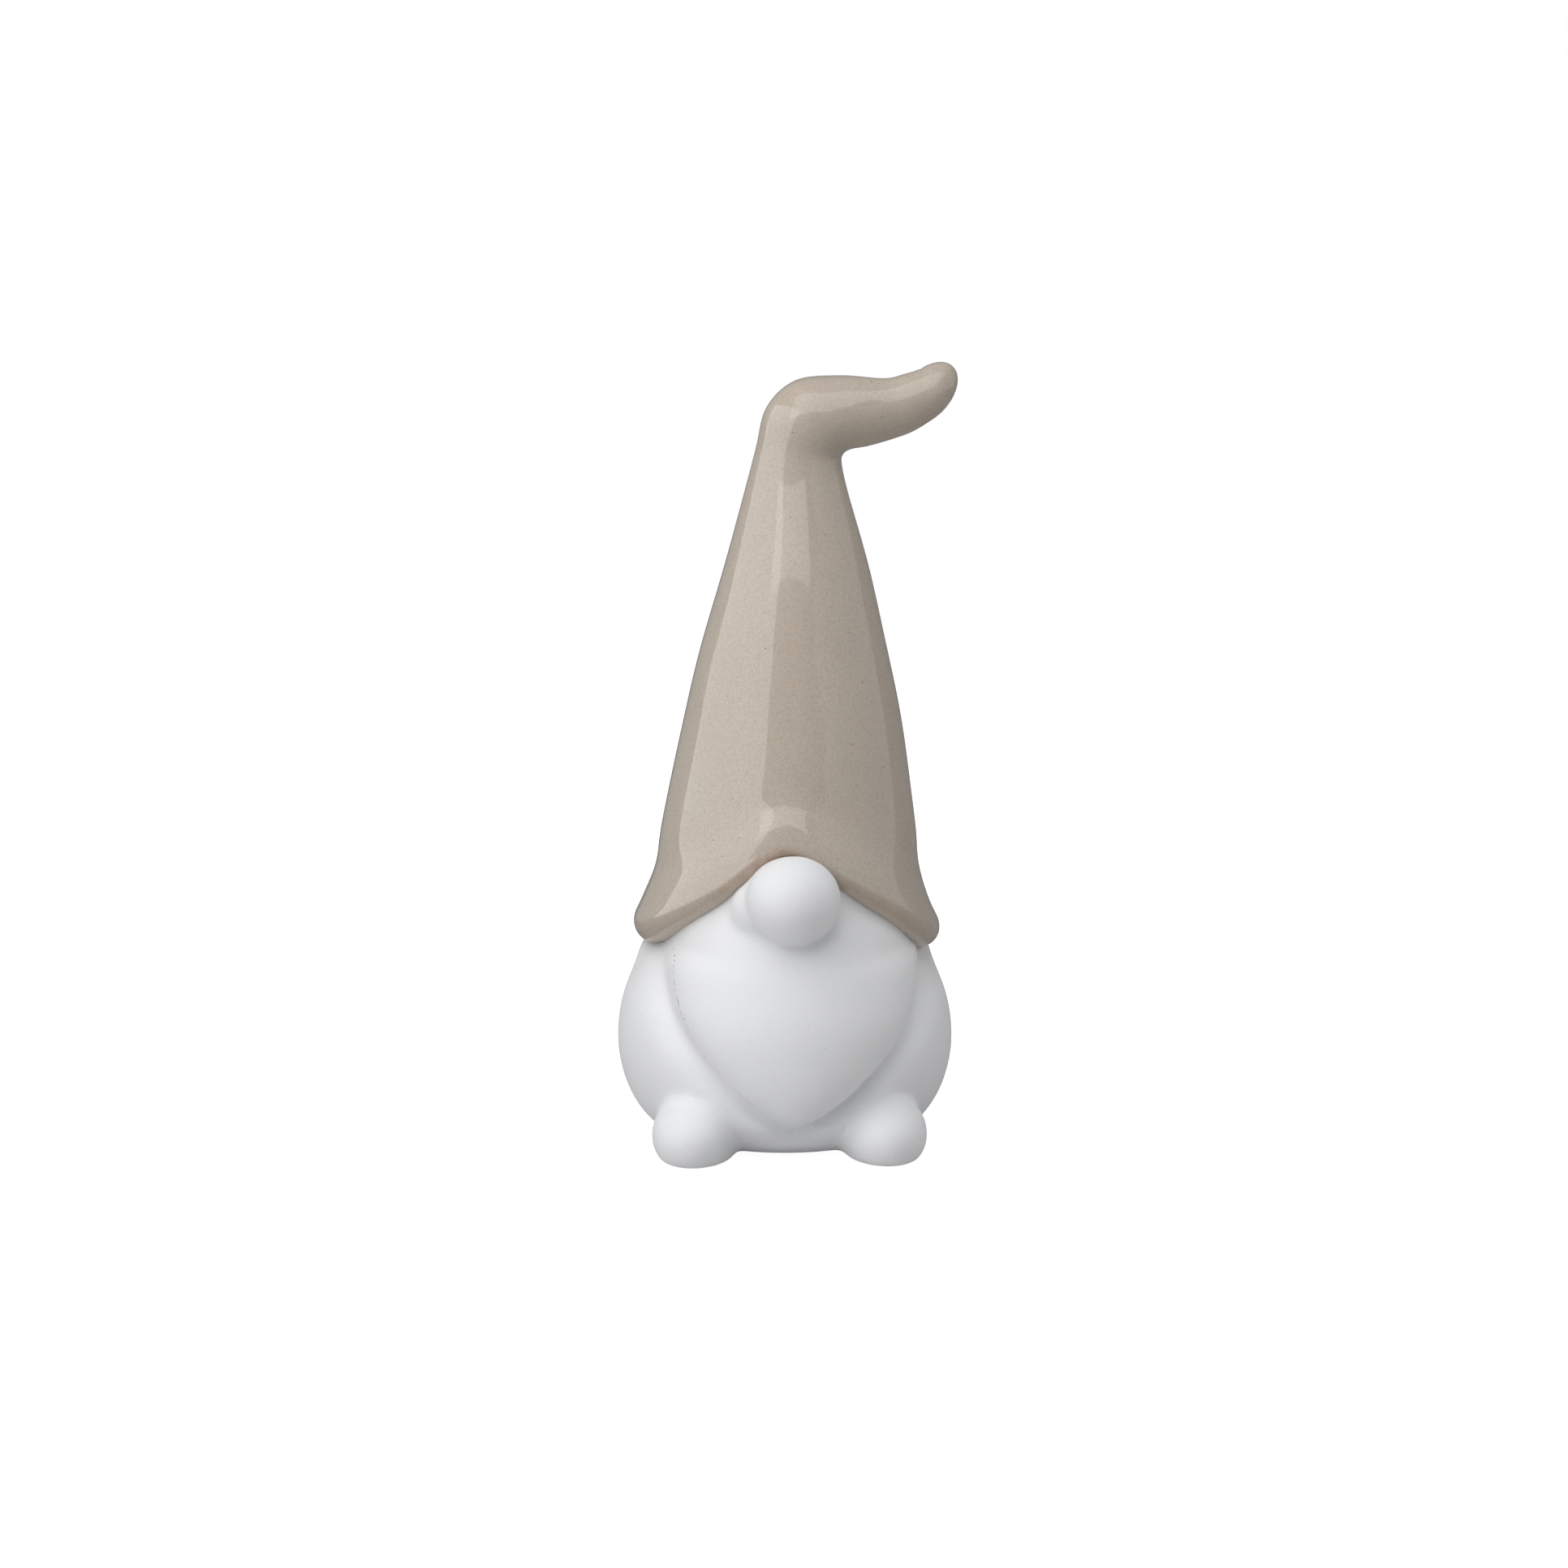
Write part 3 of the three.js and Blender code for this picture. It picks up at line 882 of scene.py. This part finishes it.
def makeGlaze():
    finish, nodes, links = newFinish("sandGlaze")
    shader = nodes["Principled BSDF"]
    shader.inputs["IOR"].default_value = glazeLook["ior"]
    clouds = ramp(nodes, links, noiseNode(nodes, links, 45, 3), 0.3, 0.7)
    colour = mixColours(nodes, links, clouds, glazeLook["sand"], glazeLook["paleSand"])
    mottle = ramp(nodes, links, noiseNode(nodes, links, 1700, 5, 0.62), 0.40, 0.70)
    colour = mixColours(nodes, links, mottle, colour, glazeLook["mottle"])
    warm = ramp(nodes, links, noiseNode(nodes, links, 260, 4, 0.6), 0.56, 0.78, 0.0, 0.4)
    colour = mixColours(nodes, links, warm, colour, glazeLook["warm"])
    thin = nodes.new("ShaderNodeAttribute")
    thin.attribute_name = "thinGlaze"
    broken = nodes.new("ShaderNodeMath")
    broken.operation = "MULTIPLY"
    links.new(thin.outputs["Fac"], broken.inputs[0])
    patchy = ramp(nodes, links, noiseNode(nodes, links, 420, 4, 0.6), 0.3, 0.68, 0.25, 1.0)
    links.new(patchy, broken.inputs[1])
    colour = mixColours(nodes, links, broken.outputs["Value"], colour, glazeLook["thinEdge"])
    colour = mixColours(nodes, links, specks(nodes, links, 950, 0.075, 0.55), colour, glazeLook["fineSpeck"])
    colour = mixColours(nodes, links, specks(nodes, links, 300, 0.17, 0.6), colour, glazeLook["darkSpeck"])
    colour = mixColours(nodes, links, specks(nodes, links, 210, 0.21, 0.4), colour, glazeLook["redSpeck"])
    links.new(colour, shader.inputs["Base Color"])
    gloss = ramp(nodes, links, noiseNode(nodes, links, 300, 3), 0.3, 0.7, *glazeLook["roughness"])
    links.new(gloss, shader.inputs["Roughness"])
    normal = addBump(nodes, links, noiseNode(nodes, links, 55, 2), 0.16)
    normal = addBump(nodes, links, noiseNode(nodes, links, 800, 2), 0.0025, 1.0, normal)
    links.new(normal, shader.inputs["Normal"])
    return finish


feltLook = {
    "dark": (0.47, 0.44, 0.38),
    "middle": (0.64, 0.61, 0.54),
    "pale": (0.70, 0.68, 0.62),
    "sheen": 0.35,
    "roughness": 1.0,
}


def makeFelt():
    finish, nodes, links = newFinish("felt")
    shader = nodes["Principled BSDF"]
    shader.inputs["Sheen Weight"].default_value = feltLook["sheen"]
    shader.inputs["Roughness"].default_value = feltLook["roughness"]
    fibres = noiseNode(nodes, links, 2400, 6, 0.7, (1.0, 0.35, 1.0))
    across = noiseNode(nodes, links, 2400, 6, 0.7, (0.3, 1.0, 1.0))
    lengthwise = ramp(nodes, links, fibres, 0.3, 0.7)
    colour = mixColours(nodes, links, lengthwise, feltLook["dark"], feltLook["middle"])
    crossing = ramp(nodes, links, across, 0.5, 0.8, 0.0, 0.6)
    colour = mixColours(nodes, links, crossing, colour, feltLook["pale"])
    links.new(colour, shader.inputs["Base Color"])
    normal = addBump(nodes, links, fibres, 0.12)
    normal = addBump(nodes, links, across, 0.1, 1.0, normal)
    links.new(normal, shader.inputs["Normal"])
    return finish


def dress(piece, finish):
    piece.data.materials.clear()
    piece.data.materials.append(finish)


print("finishes")
bisque = makeBisque()
bareClay = makeBareClay()
glaze = makeGlaze()
felt = makeFelt()
for piece in sections.values():
    dress(piece, bisque)
for piece in feltDots:
    dress(piece, felt)
dress(hatGlaze, glaze)
dress(hatClay, bareClay)

# The floor, the lights and the camera.

studio = {
    "floor": 0.68,  # the floor's own grey
    "floorSeen": 0.95,  # light added to it for the camera only
    "seen": 1.0,  # the surroundings, for the camera
    "glossy": 0.2,  # for reflections
    "ambient": 0.06,  # and as light on the figure
    "softboxes": {  # azimuth, elevation, distance, width, height, radiance, reflected
        "leftPanel": (-75, 14, 0.75, 1.4, 0.85, 1.3, True),
        "leftBackPanel": (-140, 12, 0.9, 0.7, 0.8, 0.15, True),
        "topPanel": (-10, 52, 0.8, 0.95, 0.75, 1.1, True),
        "rightPanel": (71, 12, 0.9, 1.6, 0.6, 0.36, True),
        "leftLight": (-52, 14, 0.95, 1.2, 1.1, 0.86, False),
        "topLight": (-24, 64, 0.8, 1.1, 0.9, 1.74, False),
        "rightLight": (108, 14, 0.9, 0.5, 0.7, 1.5, False),
    },
}


def makeFloor():
    clearSelection()
    bpy.ops.mesh.primitive_plane_add(size=8, location=(0, 0, 0))
    floor = bpy.context.object
    floor.name = "floor"
    finish, nodes, links = newFinish("paleFloor")
    shader = nodes["Principled BSDF"]
    shader.inputs["Base Color"].default_value = (studio["floor"], studio["floor"], studio["floor"], 1)
    shader.inputs["Roughness"].default_value = 0.9
    shader.inputs["Emission Color"].default_value = (1, 1, 1, 1)
    path = nodes.new("ShaderNodeLightPath")
    seen = ramp(nodes, links, path.outputs["Is Camera Ray"], 0, 1, 0, studio["floorSeen"])
    links.new(seen, shader.inputs["Emission Strength"])
    floor.data.materials.append(finish)
    floor.visible_glossy = False


def makeStudio():
    # white to the eye, dim in reflections and a faint even fill
    world = bpy.data.worlds.new("studio")
    world.use_nodes = True
    bpy.context.scene.world = world
    nodes, links = world.node_tree.nodes, world.node_tree.links
    background = nodes["Background"]
    background.inputs["Color"].default_value = (1, 1, 1, 1)
    path = nodes.new("ShaderNodeLightPath")
    seen = nodes.new("ShaderNodeMix")
    seen.inputs["A"].default_value = studio["ambient"]
    seen.inputs["B"].default_value = studio["seen"]
    links.new(path.outputs["Is Camera Ray"], seen.inputs["Factor"])
    glossy = nodes.new("ShaderNodeMix")
    glossy.inputs["B"].default_value = studio["glossy"]
    links.new(path.outputs["Is Glossy Ray"], glossy.inputs["Factor"])
    links.new(seen.outputs["Result"], glossy.inputs["A"])
    links.new(glossy.outputs["Result"], background.inputs["Strength"])


def makeSoftbox(name, azimuth, elevation, distance, width, tall, radiance, reflected):
    # a reflected one only shows in the glaze, the others only light the figure
    a, e = math.radians(azimuth), math.radians(elevation)
    away = Vector((math.sin(a) * math.cos(e), -math.cos(a) * math.cos(e), math.sin(e)))
    target = Vector((0, 0, height * 0.5))
    clearSelection()
    bpy.ops.object.light_add(type="AREA", location=target + away * distance)
    lamp = bpy.context.object
    lamp.name = name
    lamp.data.shape = "RECTANGLE"
    lamp.data.size = width
    lamp.data.size_y = tall
    lamp.data.energy = radiance * 4 * width * tall  # watts
    lamp.rotation_euler = away.to_track_quat("Z", "Y").to_euler()
    lamp.visible_glossy = reflected
    lamp.visible_diffuse = not reflected
    return lamp


print("studio")
makeFloor()
makeStudio()
for name, values in studio["softboxes"].items():
    makeSoftbox(name, *values)

view = {
    "azimuth": -2.2,
    "elevation": 10.5,
    "distance": 0.914,
    "lens": 90.83,
    "aimX": -0.0005,
    "aimShare": 0.4628,  # of the figure's height
}
a, e = math.radians(view["azimuth"]), math.radians(view["elevation"])
aim = Vector((view["aimX"], 0, height * view["aimShare"]))
back = Vector((math.sin(a) * math.cos(e), -math.cos(a) * math.cos(e), math.sin(e)))
bpy.ops.object.camera_add(location=aim + back * view["distance"])
camera = bpy.context.object
camera.rotation_euler = (-back).to_track_quat("-Z", "Y").to_euler()
camera.data.lens = view["lens"]
bpy.context.scene.camera = camera
bpy.context.scene.view_settings.view_transform = "Standard"

print("done")
